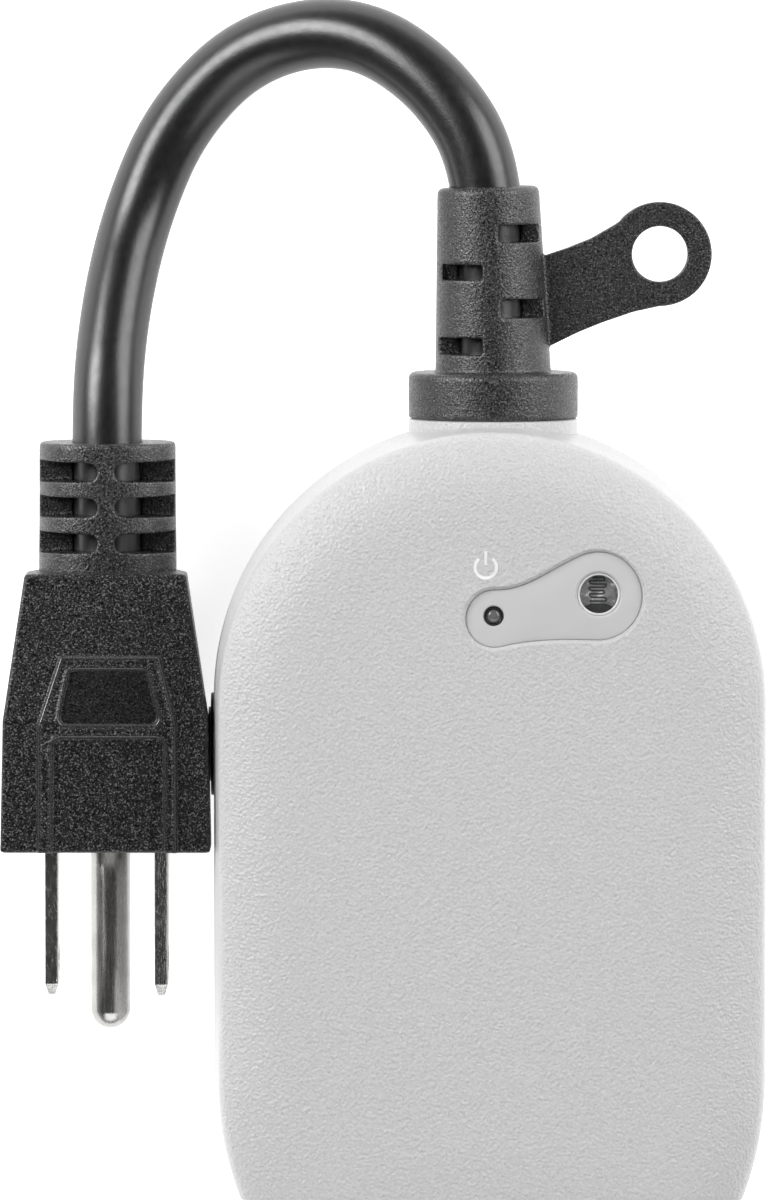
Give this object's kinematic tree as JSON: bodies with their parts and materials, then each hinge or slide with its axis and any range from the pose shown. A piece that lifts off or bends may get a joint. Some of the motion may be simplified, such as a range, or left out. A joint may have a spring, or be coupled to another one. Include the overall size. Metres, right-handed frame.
{
  "type": "outdoor smart plug",
  "caption": "Arch-topped outdoor smart plug with a short plug lead, hanging tab, light sensor, side button and covered outlets on its lower end.",
  "frame": {"origin": "on the flat back face, on the housing's centreline, 45 mm below the crown of its arch", "axes": "+Z out of the front face, +Y along the housing towards the strain relief, +X across it; the part lies on its back"},
  "size_m": [0.0885, 0.1378, 0.038],
  "materials": {
    "shell_grey": "fine pebble texture, light grey",
    "bezel_grey": "smooth satin, light grey",
    "insert_grey": "smooth, pale grey",
    "boot_black": "fine textured soft black moulding",
    "plug_black": "textured black moulding",
    "cord_black": "smooth, slightly glossy black jacket",
    "lid_grey": "satin grey",
    "outlet_black": "smooth black",
    "seal_rubber": "soft dark rubber",
    "button_black": "satin black",
    "mark_grey": "satin pale grey",
    "nickel": "nickel plated, brushed lightly",
    "brass": "stamped brass",
    "screw_steel": "zinc-plated steel",
    "clear_lens": "clear moulded lens",
    "lamp_diffuser": "milky lamp lens",
    "cell_ceramic": "ceramic disc with a winding track",
    "led_body": "clear epoxy",
    "board_green": "solder mask",
    "relay_black": "moulded case",
    "core_steel": "laminated core and taped winding",
    "can_aluminium": "sleeved can",
    "disc_blue": "dipped coating",
    "fuse_glass": "glass tube",
    "shield_steel": "tinned can",
    "carrier_cream": "insulating moulding",
    "wire_black": "wire insulation",
    "wire_white": "wire insulation",
    "wire_green": "wire insulation"
  },
  "bodies": {
    "housing": {"front_shell": "shell_grey", "rear_shell": "shell_grey", "gasket_left": "seal_rubber", "gasket_right": "seal_rubber", "sensor_bezel": "bezel_grey", "cell_window": "clear_lens", "lamp_lens": "lamp_diffuser", "photocell": "cell_ceramic", "status_led": "led_body", "housing_screws": "screw_steel", "strain_relief": "boot_black", "cord_root": "cord_black", "cord_jacket": "cord_black", "cord_tail": "cord_black", "plug_body": "plug_black", "plug_insert": "insert_grey", "plug_line_blade": "nickel", "plug_neutral_blade": "nickel", "plug_ground_pin": "nickel", "outlet_face": "outlet_black", "hinge_pins": "screw_steel", "contact_carrier": "carrier_cream", "neutral_contact_bar": "brass", "line_contact_bar": "brass", "ground_contact_bar": "brass", "button_seal": "seal_rubber", "tact_switch": "relay_black", "sensor_board": "board_green", "main_board": "board_green", "board_screws": "screw_steel", "relay": "relay_black", "transformer": "core_steel", "capacitors": "can_aluminium", "varistor": "disc_blue", "fuse_link": "fuse_glass", "radio_board": "board_green", "radio_shield": "shield_steel", "pin_header": "relay_black", "wire_line": "wire_black", "wire_neutral": "wire_white", "wire_ground": "wire_green", "wire_switched": "wire_black", "wire_return": "wire_white"},
    "lid_left": {"lid_left": "lid_grey", "lid_seal_left": "seal_rubber"},
    "lid_right": {"lid_right": "lid_grey", "lid_seal_right": "seal_rubber"},
    "button": {"power_button": "button_black", "button_mark": "mark_grey"},
    "plunger": {"switch_plunger": "mark_grey"}
  },
  "joints": [
    {"name": "lid_left_hinge", "type": "hinge", "parent": "housing", "child": "lid_left", "pos_m": [-0.0131, -0.04265, 0.0044], "axis": [1, 0, 0], "range_deg": [0, 95]},
    {"name": "lid_right_hinge", "type": "hinge", "parent": "housing", "child": "lid_right", "pos_m": [0.0131, -0.04265, 0.0044], "axis": [1, 0, 0], "range_deg": [0, 95]},
    {"name": "button_press", "type": "slide", "parent": "housing", "child": "button", "axis": [1, 0, 0], "range_m": [0, 0.0008], "stiffness_N_per_m": 1500, "springref_m": -0.0003},
    {"name": "plunger_press", "type": "slide", "parent": "housing", "child": "plunger", "axis": [1, 0, 0], "range_m": [0, 0.00025]}
  ],
  "couplings": [
    {"joint": "plunger_press", "follows": "button_press", "ratio": 0.3125}
  ]
}
